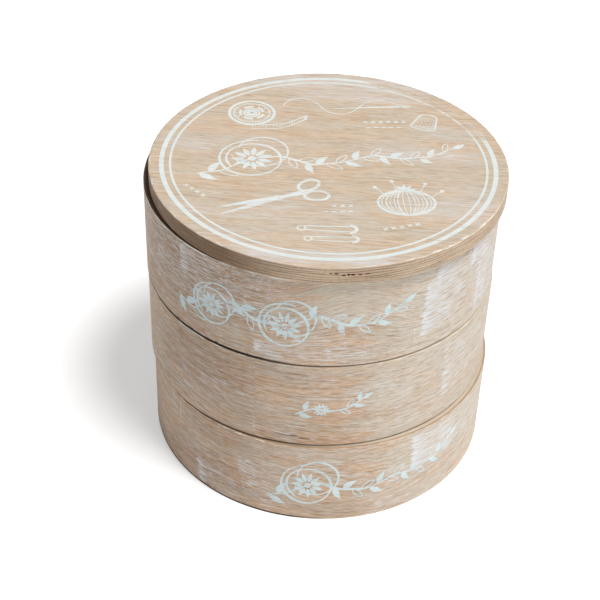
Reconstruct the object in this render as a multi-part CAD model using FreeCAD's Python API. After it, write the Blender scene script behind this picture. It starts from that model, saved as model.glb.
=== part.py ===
import FreeCAD, Part
import math
import os

# Round wooden sewing box: three bentwood trays and a plywood lid, stacked on one hidden
# steel rod near the back right of the rim. Each tray and the lid swivels about that rod.
# Lengths are in millimetres and angles in degrees, counter-clockwise seen from above.
# The origin is the centre of the base tray's underside, +Z is up, the decorated front
# faces -Y. Every tray is drawn about the origin, then lifted to its level and swivelled
# a little about the rod, as the real ones stand.

# Trays
tray_diameter = 200.0
tray_height = 55.7
tray_gap = 0.8
veneer_thickness = 1.2
ply_hoop_thickness = 2.75
glue_line = 0.05
floor_thickness = 4.0
seam_gap = 0.2
outer_rim_round = 0.5
inner_rim_round = 0.8

# The trays from the bottom up: the place of each one's veneer seam, and its swivel at rest
trays = {
    "base": {"seam_angle": 221.0, "swivel_angle": 0.0},
    "middle": {"seam_angle": 255.8, "swivel_angle": -1.93},
    "top": {"seam_angle": 218.5, "swivel_angle": -2.55},
}

# Lid
lid_diameter = 198.4
lid_thickness = 10.0
lid_edge_round = 0.6
lid_swivel_angle = 0.35

# Pivot: a round rod in a glued block, inset from the tray's inner wall
pivot_angle = 45.0
pivot_inset = 12.0
block_half_width = 14.0
block_edge_round = 1.0
rod_diameter = 6.0
rod_end_chamfer = 0.6
sleeve_wall = 0.95
running_clearance = 0.05
sleeve_end_chamfer = 0.3

# Washers, lock nut and threaded insert
washer_hole_clearance = 0.3
spacer_diameter = 18.0
spacer_edge_round = 0.2
seat_washer_diameter = 18.0
seat_washer_thickness = 1.6
nut_across_flats = 10.0
nut_hex_height = 4.9
nut_collar_diameter = 8.8
nut_collar_height = 1.1
nut_ring_wall = 0.7
rod_below_nut = 1.0
nut_recess_clearance = 1.0
nut_recess_spare_depth = 2.4
insert_wall = 1.2
insert_length = 8.0
insert_flange_diameter = 12.0
insert_flange_thickness = 1.0
insert_hole_spare_depth = 0.5
rod_end_in_insert = 0.8

# Brads that pin the ply hoop to the floor's edge and to the pivot block
brad_diameter = 1.0
brad_length = 10.0
brad_head_diameter = 1.8
brad_head_thickness = 0.5
brad_sink = 0.1
floor_brad_count = 12
block_brad_inset = 9.0

# Worked out from the sizes above
tray_radius = tray_diameter / 2
ply_outer_radius = tray_radius - veneer_thickness - glue_line
tray_inner_radius = ply_outer_radius - ply_hoop_thickness
pivot_radius = tray_inner_radius - pivot_inset
level_pitch = tray_height + tray_gap
rod_radius = rod_diameter / 2
sleeve_bore_radius = rod_radius + running_clearance
sleeve_outer_radius = sleeve_bore_radius + sleeve_wall
washer_hole_radius = rod_radius + washer_hole_clearance
nut_height = nut_hex_height + nut_collar_height
nut_recess_radius = seat_washer_diameter / 2 + nut_recess_clearance
nut_recess_depth = seat_washer_thickness + nut_height + rod_below_nut + nut_recess_spare_depth
insert_outer_radius = rod_radius + insert_wall
lid_underside = len(trays) * level_pitch
reach = tray_diameter

UP = FreeCAD.Vector(0, 0, 1)
OUTWARD = FreeCAD.Vector(1, 0, 0)
CENTRE = FreeCAD.Vector(0, 0, 0)
PIVOT = FreeCAD.Vector(
    pivot_radius * math.cos(math.radians(pivot_angle)),
    pivot_radius * math.sin(math.radians(pivot_angle)),
    0,
)


def disc(radius, height, at=CENTRE):
    """A solid disc that stands on the point at."""
    return Part.makeCylinder(radius, height, at, UP)


def ring(outer_radius, inner_radius, height, at=CENTRE):
    """A plain ring that stands on the point at."""
    return disc(outer_radius, height, at).cut(disc(inner_radius, height, at))


def turned(shape, angle, axis_point=CENTRE):
    """The shape turned by an angle about a vertical axis."""
    result = shape.copy()
    result.rotate(axis_point, UP, angle)
    return result


def above_pivot(height):
    """The point on the rod's axis at this height."""
    return PIVOT + UP * height


def circles(shape, radius, heights):
    """The shape's circular edges of this radius that lie at one of these heights."""
    found = []
    for edge in shape.Edges:
        if not hasattr(edge.Curve, "Radius"):
            continue
        same_radius = abs(edge.Curve.Radius - radius) < 1e-6
        level = edge.BoundBox.ZMin
        if same_radius and any(abs(level - height) < 1e-6 for height in heights):
            found.append(edge)
    return found


def seam_slot(angle):
    """The thin upright gap where a bent hoop's two ends meet."""
    slot = Part.makeBox(reach, seam_gap, tray_height, FreeCAD.Vector(0, -seam_gap / 2, 0))
    return turned(slot, angle)


def brad_places():
    """The angle and height of every brad in one tray."""
    places = []
    for index in range(floor_brad_count):
        angle = pivot_angle + (index + 0.5) * 360.0 / floor_brad_count
        places.append((angle, floor_thickness / 2))
    side_step = (block_half_width + sleeve_outer_radius) / 2
    spread = math.degrees(math.asin(side_step / ply_outer_radius))
    for side in (-1, 1):
        for height in (nut_recess_depth + block_brad_inset, tray_height - block_brad_inset):
            places.append((pivot_angle + side * spread, height))
    return places


def brad(angle, height, hole=False):
    """One brad driven in towards the tray's middle, or the hole that it leaves."""
    tip = ply_outer_radius - brad_sink - brad_length
    shank = Part.makeCylinder(
        brad_diameter / 2, brad_length, FreeCAD.Vector(tip, 0, height), OUTWARD)
    head_start = ply_outer_radius - brad_sink - brad_head_thickness
    head_length = brad_head_thickness
    if hole:
        head_length = brad_head_thickness + brad_sink + veneer_thickness
    head = Part.makeCylinder(
        brad_head_diameter / 2, head_length, FreeCAD.Vector(head_start, 0, height), OUTWARD)
    return turned(shank.fuse(head), angle)


def drilled_for_brads(shape):
    """The shape with the brads' holes in it."""
    return shape.cut([brad(angle, height, hole=True) for angle, height in brad_places()])


def make_outer_hoop(seam_angle):
    """The bent veneer that is seen from outside, with both outer edges eased."""
    hoop = ring(tray_radius, tray_radius - veneer_thickness, tray_height)
    hoop = hoop.makeFillet(outer_rim_round, circles(hoop, tray_radius, (0, tray_height)))
    return hoop.cut(seam_slot(seam_angle))


def make_ply_hoop():
    """The bent plywood that stiffens the wall; its butt joint hides behind the block."""
    hoop = ring(ply_outer_radius, tray_inner_radius, tray_height)
    hoop = hoop.makeFillet(inner_rim_round, circles(hoop, tray_inner_radius, (tray_height,)))
    return drilled_for_brads(hoop.cut(seam_slot(pivot_angle)))


def make_floor(pivot_hole_radius):
    """The plywood disc inside the hoops, level with their lower edges."""
    floor = disc(tray_inner_radius - glue_line, floor_thickness)
    floor = floor.cut(disc(pivot_hole_radius, floor_thickness, above_pivot(0)))
    return drilled_for_brads(floor)


def make_pivot_block(recessed):
    """The solid post glued to the wall and floor that carries the sleeve."""
    height = tray_height - floor_thickness
    nose = disc(block_half_width, height, FreeCAD.Vector(pivot_radius, 0, floor_thickness))
    back = Part.makeBox(
        reach, 2 * block_half_width, height,
        FreeCAD.Vector(pivot_radius, -block_half_width, floor_thickness))
    post = nose.fuse(back).removeSplitter()
    post = post.common(
        disc(tray_inner_radius - glue_line, height, FreeCAD.Vector(0, 0, floor_thickness)))
    seen_edges = [
        edge for edge in post.Edges
        if abs(edge.BoundBox.ZMin - tray_height) < 1e-6
        and math.hypot(edge.CenterOfMass.x, edge.CenterOfMass.y) < tray_inner_radius - pivot_inset / 4
    ]
    post = turned(post.makeFillet(block_edge_round, seen_edges), pivot_angle)
    post = post.cut(disc(sleeve_outer_radius, tray_height, above_pivot(0)))
    if recessed:
        post = post.cut(disc(nut_recess_radius, nut_recess_depth, above_pivot(0)))
    return drilled_for_brads(post)


def make_sleeve(bottom):
    """The brass tube in which the rod turns."""
    sleeve = ring(sleeve_outer_radius, sleeve_bore_radius, tray_height - bottom, above_pivot(bottom))
    ends = circles(sleeve, sleeve_outer_radius, (bottom, tray_height))
    return sleeve.makeChamfer(sleeve_end_chamfer, ends)


def make_spacer():
    """The washer on top of a tray's block that keeps the next level clear of the rim."""
    outer_radius = spacer_diameter / 2
    spacer = ring(outer_radius, washer_hole_radius, tray_gap, above_pivot(tray_height))
    edges = circles(spacer, outer_radius, (tray_height, tray_height + tray_gap))
    return spacer.makeFillet(spacer_edge_round, edges)


def make_brads():
    """All of one tray's brads, as one group of separate solids."""
    return Part.makeCompound([brad(angle, height) for angle, height in brad_places()])


def make_tray(name, level, seam_angle, swivel_angle):
    """One tray's pieces, at their level and swivelled as they rest."""
    carries_nut = level == 0
    floor_hole_radius = nut_recess_radius if carries_nut else sleeve_outer_radius
    sleeve_bottom = nut_recess_depth if carries_nut else 0
    pieces = {
        "outer_hoop": make_outer_hoop(seam_angle),
        "ply_hoop": make_ply_hoop(),
        "floor": make_floor(floor_hole_radius),
        "pivot_block": make_pivot_block(carries_nut),
        "pivot_sleeve": make_sleeve(sleeve_bottom),
        "spacer": make_spacer(),
        "brads": make_brads(),
    }
    placed = {}
    for piece, shape in pieces.items():
        lifted = shape.copy()
        lifted.translate(UP * level * level_pitch)
        placed[name + "_" + piece] = turned(lifted, swivel_angle, PIVOT)
    return placed


def make_lid():
    """The thick plywood disc, with a blind hole underneath for the threaded insert."""
    panel = disc(lid_diameter / 2, lid_thickness, UP * lid_underside)
    rims = circles(panel, lid_diameter / 2, (lid_underside, lid_underside + lid_thickness))
    panel = panel.makeFillet(lid_edge_round, rims)
    panel = turned(panel, lid_swivel_angle, PIVOT)
    hole_depth = insert_length + insert_hole_spare_depth
    panel = panel.cut(disc(insert_outer_radius, hole_depth, above_pivot(lid_underside)))
    flange_radius = insert_flange_diameter / 2
    return panel.cut(disc(flange_radius, insert_flange_thickness, above_pivot(lid_underside)))


def make_insert():
    """The threaded insert sunk in the lid's underside, its thread left plain."""
    foot = above_pivot(lid_underside)
    body = disc(insert_outer_radius, insert_length, foot)
    flange = disc(insert_flange_diameter / 2, insert_flange_thickness, foot)
    return body.fuse(flange).cut(disc(rod_radius, insert_length, foot))


def make_rod():
    """The steel rod, screwed up into the insert and down through every sleeve."""
    bottom = nut_recess_depth - seat_washer_thickness - nut_height - rod_below_nut
    top = lid_underside + insert_length - rod_end_in_insert
    rod = disc(rod_radius, top - bottom, above_pivot(bottom))
    return rod.makeChamfer(rod_end_chamfer, circles(rod, rod_radius, (bottom, top)))


def make_seat_washer():
    """The washer between the lock nut and the seat of its recess."""
    bottom = nut_recess_depth - seat_washer_thickness
    outer_radius = seat_washer_diameter / 2
    return ring(outer_radius, washer_hole_radius, seat_washer_thickness, above_pivot(bottom))


def nut_seat():
    """The height of the face that the lock nut presses against."""
    return nut_recess_depth - seat_washer_thickness


def make_lock_nut():
    """The hexagon nut with its round collar below, its thread left plain."""
    corner_radius = nut_across_flats / 2 / math.cos(math.radians(30))
    hex_bottom = nut_seat() - nut_hex_height
    corners = [
        above_pivot(hex_bottom) + FreeCAD.Vector(
            corner_radius * math.cos(math.radians(60 * index)),
            corner_radius * math.sin(math.radians(60 * index)), 0)
        for index in range(6)
    ]
    hexagon = Part.Face(Part.makePolygon(corners + corners[:1])).extrude(UP * nut_hex_height)
    flat_radius = nut_across_flats / 2
    eased = Part.makeCone(
        flat_radius + nut_hex_height, flat_radius, nut_hex_height, above_pivot(hex_bottom), UP)
    collar = disc(nut_collar_diameter / 2, nut_collar_height, above_pivot(hex_bottom - nut_collar_height))
    nut = hexagon.common(eased).fuse(collar)
    nut = nut.cut(disc(rod_radius, nut_height, above_pivot(nut_seat() - nut_height)))
    ring_room = disc(
        rod_radius + nut_ring_wall, nut_collar_height, above_pivot(hex_bottom - nut_collar_height))
    return nut.cut(ring_room)


def make_lock_nut_ring():
    """The nylon ring in the lock nut's collar, which grips the rod."""
    bottom = nut_seat() - nut_height
    return ring(rod_radius + nut_ring_wall, rod_radius, nut_collar_height, above_pivot(bottom))


def make_all():
    """Every piece of the box, by its node's name."""
    pieces = {}
    for level, (name, tray) in enumerate(trays.items()):
        pieces.update(make_tray(name, level, **tray))
    pieces["lid_panel"] = make_lid()
    pieces["lid_insert"] = make_insert()
    pieces["pivot_rod"] = make_rod()
    pieces["seat_washer"] = make_seat_washer()
    pieces["lock_nut"] = make_lock_nut()
    pieces["lock_nut_ring"] = make_lock_nut_ring()
    return pieces


os.makedirs("parts", exist_ok=True)
for node, shape in make_all().items():
    shape.exportStep("parts/" + node + ".step")
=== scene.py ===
import random
from math import atan2, copysign, cos, degrees, pi, radians, sin, sqrt

import bmesh
import bpy
import numpy as np
from mathutils import Matrix, Vector


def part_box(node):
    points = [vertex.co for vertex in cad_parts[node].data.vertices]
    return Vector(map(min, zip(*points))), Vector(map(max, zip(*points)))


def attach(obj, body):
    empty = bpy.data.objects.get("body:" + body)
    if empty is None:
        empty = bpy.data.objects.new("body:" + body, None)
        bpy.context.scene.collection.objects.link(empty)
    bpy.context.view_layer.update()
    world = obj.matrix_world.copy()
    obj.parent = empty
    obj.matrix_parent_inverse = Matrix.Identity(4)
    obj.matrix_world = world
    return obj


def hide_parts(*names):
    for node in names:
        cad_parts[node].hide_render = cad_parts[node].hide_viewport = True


# The looks of a round swivelling sewing box: three bentwood trays under a plywood lid,
# whitewashed and printed in pale blue-white. Lengths are in metres, angles in degrees,
# counter-clockwise seen from above, with -90 at the front.
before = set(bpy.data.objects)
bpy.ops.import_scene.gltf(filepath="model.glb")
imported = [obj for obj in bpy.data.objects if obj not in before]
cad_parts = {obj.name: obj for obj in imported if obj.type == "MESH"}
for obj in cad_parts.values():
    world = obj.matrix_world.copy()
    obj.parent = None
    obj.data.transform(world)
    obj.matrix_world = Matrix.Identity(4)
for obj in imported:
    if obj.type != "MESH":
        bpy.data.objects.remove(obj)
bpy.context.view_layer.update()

MM = 0.001
NAMES = ("base", "middle", "top")
BODY_OF = {"base": "base_tray", "middle": "middle_tray", "top": "top_tray"}

# Camera, fitted to the photograph's rims and edges
CAMERA_PLACE = (0.0312, -0.6528, 0.5905)
CAMERA_YAW = 3.87
CAMERA_DIP = 37.94
CAMERA_ROLL = 1.91
CAMERA_LENS = 83.49
SENSOR_WIDTH = 36

# Light: an even surround and two distant lamps from the front right, each given by its azimuth,
# elevation, strength and spread
WORLD_LEVEL = 0.208
LAMPS = {"key": (-30, 68.3, 2.5, 18), "side": (-30, 16, 0.5, 30)}

# The floor's paper, and what the camera sees of it: a share of it with an even glow over it
PAPER = (0.95, 0.97)
FLOOR_SHARE = 0.79
FLOOR_GLOW = 0.44
FLOOR_HALF = 3.0

# The print lies on the wood as a thin film, and the film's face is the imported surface
FILM = 0.05 * MM
FILM_SINK = 0.06 * MM

# Trays: the veneer's thickness, edges and seams
VENEER = 1.2 * MM
SEAM_WIDTH = 0.2 * MM
SEAM_ANGLES = {"base": -139.0, "middle": -106.1, "top": -144.05}
RIM_ROUND = 0.28 * MM
RIM_WEAR = 0.1 * MM
WALL_SWAY = 0.04 * MM
TOP_ARRIS = 1.3 * MM
LOW_ARRIS = 1.0 * MM
HOOP_COLUMNS = 900
HOOP_ROWS = 40
ROUND_STEPS = 4

# Unevenness round an edge or a wall: how many waves make it up, and how often the slowest goes round
EDGE_WAVES = (60, 6)
WALL_WAVES = (9, 2)

# Beads of glue in the seams: level in mm, half height in mm and strength
SEAM_GLUE = {
    "base": [(44, 9, 0.9), (30, 3, 0.5)],
    "middle": [(4.6, 0.7, 1.0), (7.4, 0.9, 1.0), (10.2, 0.8, 1.0), (13.4, 0.7, 0.8), (50, 0.7, 0.9)],
    "top": [(36, 1.2, 0.5), (21, 1.5, 0.5)],
}
GLUE_ENDS = (0.4 * MM, 0.6 * MM)
GLUE_SINK = 0.05 * MM
GLUE_PROUD = 0.08 * MM
GLUE_CREST = 0.01 * MM
GLUE_SPREAD = 0.12 * MM
GLUE_STEPS = 160

# Lid: its edge shows the plies
LID_ROUND = 0.6 * MM
LID_WEAR = 0.2 * MM
LID_ARRIS = 1.2 * MM
PLY_LEVELS = (1.3 * MM, 2.8 * MM, 4.2 * MM, 5.7 * MM, 7.1 * MM, 8.6 * MM)
PLY_SWAY = 0.4 * MM
PLY_WAVES = (24, 3)
PLY_GROOVE = 0.1 * MM
GROOVE_REACH = 0.36 * MM
LID_COLUMNS = 1440
LID_ROWS = 40
LID_FACE_RINGS = (0.985, 0.96, 0.92, 0.87, 0.8, 0.72, 0.62, 0.5, 0.36, 0.2)

# Voids in the lid's core that show at its edge: angle, height above the underside in mm, half
# length and half height in mm
VOIDS = [(-83.6, 6.2, 1.1, 0.36), (-81.4, 5.2, 0.8, 0.4), (-80.0, 5.5, 0.6, 0.6), (-78.8, 5.4, 1.1, 0.5),
         (-76.6, 5.2, 0.9, 0.36), (-74.4, 5.3, 1.5, 0.3), (-85.2, 6.3, 0.6, 0.3),
         (112.0, 4.8, 1.6, 0.35), (115.0, 4.9, 0.7, 0.3), (-170.0, 6.0, 1.2, 0.25)]
VOID_DEPTH = 0.9 * MM

# Where the lid's edge shows side grain, and not end grain, and where it is duller, by a share:
# start and end angle, and how softly it ends. The front arc runs on round to the right end, where end grain
# shows, so there its paler tone is painted light.
SIDE_GRAIN_AND_LIGHT_ARCS = ((-94, 20, 24.0), (60, 120, 40.0))
DULL_ARC = (-78, -70, 8.0)
DULL_SHARE = 0.22

# Where the lid's upper edge is worn pale: strength, then start and end angle and how softly it ends
WORN_ARCS = ((0.5, -58, -22, 8.0), (0.3, -180, -120, 10.0))
LEAST_LID_WORN = 0.12

# The recess in the lid's underside that holds the threaded insert
INSERT_FLANGE = 1.0 * MM
INSERT_BODY = 4.2 * MM
INSERT_HOLE = 8.5 * MM
HOLE_SIDES = 64

# Washed places on the lid's face: lowest and highest x, lowest and highest y in mm, strength
LID_WASH = [(-40, 40, -96, -86, 0.85), (-50, 50, 78, 97, 0.7), (-80, -20, -60, -50, 0.45),
            (20, 84, 6, 20, 0.55), (40, 92, -50, -30, 0.5), (-30, 30, -50, -40, 0.4),
            (-90, -60, 0, 14, 0.5), (-20, 50, 66, 80, 0.6), (50, 80, 30, 44, 0.5),
            (-70, -20, 10, 20, 0.35), (-50, 10, -78, -70, 0.45), (60, 90, -30, -14, 0.4)]

# The brush leaves a thick ragged start, which these lengths give, and then a long thin end
BRUSH_JAGS = 15 * MM
BRUSH_THICK = 9 * MM

# Dry-brushed wash: the angle where it starts, the angle where it fades out, lowest and highest
# level in mm, and its strength
WASH_PATCHES = {
    "top": [(-53, -24, 22, 44, 1.0), (-53.5, -30, 9, 26, 1.0), (-49, -20, 38, 52, 0.95),
            (-33, -4, 38, 56, 1.0), (-28, 20, 4, 38, 0.8), (-134, -108, 36, 55, 0.7),
            (-127, -98, 22, 34, 0.75), (-147.5, -138, 30, 42, 0.6), (-149, -140, 15, 27, 0.4),
            (-110, -84, 24, 32, 0.5), (-106, -80, 3, 13, 0.85), (-94, -74, 12, 21, 0.55),
            (-84, -56, 3, 14, 0.6)],
    "middle": [(-136, -106, 12, 26, 0.45), (-126, -96, 24, 32, 0.55), (-106, -60, 2, 8, 0.45),
               (-60, -26, 4, 24, 0.45), (-78, -42, 34, 44, 0.45), (-42, 0, 14, 52, 0.6),
               (-90, -64, 44, 53, 0.45)],
    "base": [(-130, -112, 2, 20, 0.8), (-112.5, -96, 26, 38, 0.6), (-109, -92, 14, 26, 0.6),
             (-105, -90, 3, 14, 0.4), (-54, -16, 27, 53, 1.0), (-47, -22, 33, 50, 0.9),
             (-66, -36, 2, 12, 0.5), (-92, -72, 43, 54, 0.5), (-134, -118, 36, 50, 0.3),
             (-30, 10, 14, 40, 0.5)],
}
STRAY_PATCHES = 9

# White left on the wood: start and end angle, lowest and highest level in mm, how flat a film it is and how
# white a net it draws in the pores.
# The flat film, laid thickest over the front and right, is partly painted light on the lit side.
HAZES_AND_LIGHT = {
    "top": [(-170, -100, 20, 58, 0.22, 0.9), (-146, -112, 0, 24, 0.18, 0.5), (-100, -56, -4, 22, 0.3, 0.5),
            (-84, -50, 26, 60, 0.8, 0.3), (-60, 60, -4, 60, 0.9, 0.5), (-24, 60, -4, 60, 1.0, 0.9)],
    "middle": [(-150, -112, 4, 50, 0.05, 0.35), (-116, -100, 16, 40, 0.15, 0.4),
               (-66, 60, 18, 60, 0.75, 0.45), (-66, 60, -4, 20, 0.7, 0.3), (-96, -60, 26, 60, 0.25, 0.3)],
    "base": [(-132, -96, -4, 40, 0.1, 0.4), (-104, -60, 24, 60, 0.3, 0.4), (-62, 60, 16, 60, 0.6, 0.45),
             (-56, -10, 24, 56, 1.0, 0.6), (-66, 60, -4, 20, 0.6, 0.3)],
}
LEAST_HAZE = 0.04

# Darker growth rings, and on the left, from -140 to -115, large dark spots that are painted shade under the
# lid and on the side away from the lamps: angle, level in mm, half width and half height in mm, strength
STAINS_AND_SHADE = {
    "top": [(-58, 22, 20, 5, 0.15), (-72, 34, 24, 13, 0.2), (-94, 50, 14, 4, 0.15), (-128, 46, 46, 14, 0.9),
            (-138, 26, 34, 30, 0.7), (-116, 30, 26, 16, 0.5), (120, 30, 40, 12, 0.7)],
    "middle": [(-92, 7, 26, 5, 0.5), (-66, 20, 26, 5, 0.2), (-128, 34, 40, 30, 0.75), (-104, 52, 30, 8, 0.4),
               (40, 26, 40, 12, 0.7)],
    "base": [(-80, 22, 30, 8, 0.2), (-40, 24, 22, 5, 0.2), (-122, 14, 34, 22, 0.75), (-120, 48, 30, 12, 0.45),
             (-70, 4, 70, 10, 0.45), (150, 30, 40, 12, 0.7)],
}

# Knots: distance along from the seam, level, half length and half height, in mm
KNOTS = {
    "base": [(330.0, 21.0, 5.0, 2.2)],
    "middle": [(22.6, 5.2, 3.2, 1.1), (17.5, 4.6, 7.0, 0.6), (28.0, 4.4, 7.0, 0.55), (402.0, 34.0, 4.0, 1.8)],
    "top": [(250.0, 38.0, 5.0, 2.4)],
}

# Flat-sawn figure, where the grain arches: angle, level in mm, half width and rise in mm
FIGURES = {
    "top": [(-76, 40, 26, 13), (60, 20, 30, 16), (170, 30, 22, 10)],
    "middle": [(-140, 20, 34, 8), (20, 26, 30, 14), (110, 18, 24, -10)],
    "base": [(-70, 16, 40, -7), (80, 24, 30, 14), (-10, 30, 26, 9)],
}
FIGURE_HALF_HEIGHT = 22

# Where the upper rims are worn pale: start and end angle, strength; and how worn any arris is
WORN_RIMS = {"top": (-178, -92, 0.8), "middle": (-165, -112, 0.5), "base": (-165, -106, 0.5)}
LEAST_WORN = 0.05

# Painted shade along the lower edges, where a tray meets the floor or overhangs the tray under it: start and
# end angle, height in mm, strength
LOW_EDGE_SHADE = {"top": (-178, -104, 1.0, 1.0), "middle": (-178, -130, 0.3, 0.3), "base": (-160, -95, 1.2, 1.0)}

# The print's thinnest line and its broad pen's angle, and the lid's two rings' radii, in mm
HAIR = 0.42
NIB_ANGLE = 33
RINGS = ((86.6, 87.9), (90.7, 93.3))
RING_EDGE = 0.32
RING_COLUMNS = 720

# A flower's petals; the loops round one, as shares of its radius; the smallest that has them; and
# how far from its middle, in radii, the stem has no leaves
PETALS = 11
LOOPS = (1.2, 1.65)
LEAST_LOOPED = 6
LEAFLESS = 1.6

# Branches: the stem's points in mm, each flower's distance along it and radius, and the first
# leaf's length, the last one's and the distance between them. On a wall x runs from the front to
# the right, and y up from the lower rim.
WALL_BRANCHES = {
    "top": (((-79, 20), (-68, 16), (-54, 25), (-40, 33), (-28, 25), (-10, 25), (6, 34), (22, 27), (36, 27),
             (52, 37)), ((28, 8), (74, 9)), (11, 8, 5.2)),
    "middle": (((-5, 22), (4, 27), (14, 25), (24, 27), (32, 33)), ((15, 4.6),), (8, 6.5, 4)),
    "base": (((-22, 15), (-10, 19), (6, 30), (20, 24), (36, 22), (52, 28), (68, 26), (82, 29), (94, 37)),
             ((26, 9.5),), (11, 8, 5.2)),
}
LID_BRANCH = (((-78, -12), (-64, -10), (-48, 1), (-30, 2), (-14, -8), (4, -6), (20, 0), (36, -5), (52, -4),
               (66, 4)), ((34, 11.5),), (12, 9, 5.4))

# Rows of stitches on the lid: how many, whether crossed, x, y in mm, turn
STITCH_ROWS = ((6, True, 18, 44, 9), (5, False, 20, 38, 9), (4, True, -74, -34, -40), (5, True, 34, -62, 22),
               (4, False, 2, -50, 8), (3, True, 6, -44, 8))
STITCH_STEP = 4.4


def srgb(red, green, blue):
    """A colour given as it looks on a screen, 0 to 255, as the linear numbers of a shader."""
    linear = []
    for value in (red, green, blue):
        share = value / 255
        linear.append(share / 12.92 if share <= 0.04045 else ((share + 0.055) / 1.055) ** 2.4)
    return (*linear, 1.0)


# Wood colours as they look, from the photograph's range
WHITE = (1, 1, 1, 1)
TAN = srgb(220, 190, 158)
TAN_ORANGE = srgb(224, 184, 146)
TAN_GREY = srgb(206, 190, 168)
TAN_DARK = srgb(146, 112, 82)
CREAM = srgb(240, 230, 208)
WASH = srgb(230, 232, 236)
HAZE = srgb(222, 214, 196)
WORN = srgb(240, 235, 226)
PORE = srgb(104, 78, 58)
WALL_PRINT = (srgb(206, 230, 236), srgb(224, 238, 240))
LID_PRINT = (srgb(228, 240, 242), srgb(242, 246, 240))
# Painted shade under the trays' lower edges
SHADE_BROWN = srgb(56, 43, 34)
# Painted shade on the rims' upward faces towards the left: dark brown on the upper trays, tan on the base
RIM_SHADE = srgb(78, 60, 45)
BASE_RIM_SHADE = srgb(150, 120, 92)
RIM_BROWN = srgb(172, 140, 110)
RIM_PALE = srgb(212, 202, 184)
END_GRAIN = srgb(138, 110, 80)
SIDE_GRAIN = srgb(212, 188, 162)
PLY_LINE = srgb(92, 68, 50)
PINK = srgb(236, 166, 130)
VOID_RIM = srgb(232, 150, 112)
# Painted shade: the near black inside the voids in the lid's core
VOID_SHADE = srgb(26, 18, 14)
GLUE = srgb(236, 222, 190)
FILLER = srgb(176, 142, 108)


def tray_frame(name):
    """A tray's centre, outer radius, and lowest and highest level."""
    low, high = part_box(name + "_outer_hoop")
    centre = (low + high) / 2
    return centre.x, centre.y, (high.x - low.x) / 2, low.z, high.z


def lid_frame():
    """The middle of the lid's underside, its radius and its thickness."""
    low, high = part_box("lid_panel")
    middle = (low + high) / 2
    return Vector((middle.x, middle.y, low.z)), (high.x - low.x) / 2, high.z - low.z


class Shader:
    """The node tree of a material or the world. Most calls add nodes and return an output socket."""

    def __init__(self, owner):
        self.owner = owner
        owner.use_nodes = True
        self.nodes = owner.node_tree.nodes
        self.links = owner.node_tree.links
        self.nodes.clear()

    def add(self, kind, inputs=(), **settings):
        node = self.nodes.new(kind)
        for key, value in settings.items():
            setattr(node, key, value)
        for key, value in dict(inputs).items():
            if isinstance(value, bpy.types.NodeSocket):
                self.links.new(value, node.inputs[key])
            else:
                node.inputs[key].default_value = value
        return node

    def math(self, operation, a, b=0.0, clamp=False):
        return self.add("ShaderNodeMath", {0: a, 1: b}, operation=operation, use_clamp=clamp).outputs[0]

    def times(self, a, b):
        return self.math("MULTIPLY", a, b)

    def plus(self, a, b):
        return self.math("ADD", a, b)

    def minus(self, a, b):
        return self.math("SUBTRACT", a, b)

    def span(self, value, low, high, to_low=0.0, to_high=1.0, smooth=True):
        """The value mapped from one range to another, held at its ends."""
        inputs = {"Value": value, "From Min": low, "From Max": high, "To Min": to_low, "To Max": to_high}
        kind = "SMOOTHSTEP" if smooth else "LINEAR"
        return self.add("ShaderNodeMapRange", inputs, interpolation_type=kind).outputs["Result"]

    def mix(self, share, a, b):
        inputs = {0: share, 6: a, 7: b}
        return self.add("ShaderNodeMix", inputs, data_type="RGBA", clamp_factor=True).outputs[2]

    def split(self, vector):
        return self.add("ShaderNodeSeparateXYZ", {0: vector}).outputs

    def noise(self, place, cells, shift=0.0, detail=3.0, rough=0.55, distortion=0.0):
        """Noise from 0 to 1 about 0.5, with cells of these sizes in mm along each part of a place."""
        x, y, z = [self.math("DIVIDE", part, size * MM) for part, size in zip(place, cells)]
        at = self.add("ShaderNodeCombineXYZ", {0: self.plus(x, shift), 1: y, 2: z}).outputs[0]
        inputs = {"Vector": at, "Scale": 1.0, "Detail": detail, "Roughness": rough, "Distortion": distortion}
        return self.add("ShaderNodeTexNoise", inputs, noise_dimensions="3D").outputs["Fac"]

    def own_place(self):
        """The point in the piece's own coordinates."""
        return self.split(self.add("ShaderNodeTexCoord").outputs["Object"])

    def value(self, name):
        """A value that the mesh holds at each point."""
        return self.add("ShaderNodeAttribute", attribute_name=name).outputs["Fac"]

    def place(self, name):
        """The three parts of a vector that the mesh holds at each point."""
        return self.split(self.add("ShaderNodeAttribute", attribute_name=name).outputs["Vector"])

    def bump(self, height, distance, strength):
        inputs = {"Height": height, "Distance": distance, "Strength": strength}
        return self.add("ShaderNodeBump", inputs).outputs["Normal"]

    def met_by(self, *rays):
        """1 where one of these kinds of rays meets the surface."""
        path = self.add("ShaderNodeLightPath").outputs
        met = 0.0
        for ray in rays:
            met = self.math("MAXIMUM", met, path[ray])
        return met

    def finish(self, colour, roughness, normal, metallic=0.0, specular=0.5):
        """The surface itself, and the material made with it."""
        inputs = {"Base Color": colour, "Roughness": roughness, "Normal": normal, "Metallic": metallic,
                  "Specular IOR Level": specular}
        return self.show(self.add("ShaderNodeBsdfPrincipled", inputs), "Material")

    def show(self, node, kind):
        self.add("ShaderNodeOutput" + kind, {"Surface": node.outputs[0]})
        return self.owner


def new_shader(name):
    return Shader(bpy.data.materials.new(name))


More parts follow.
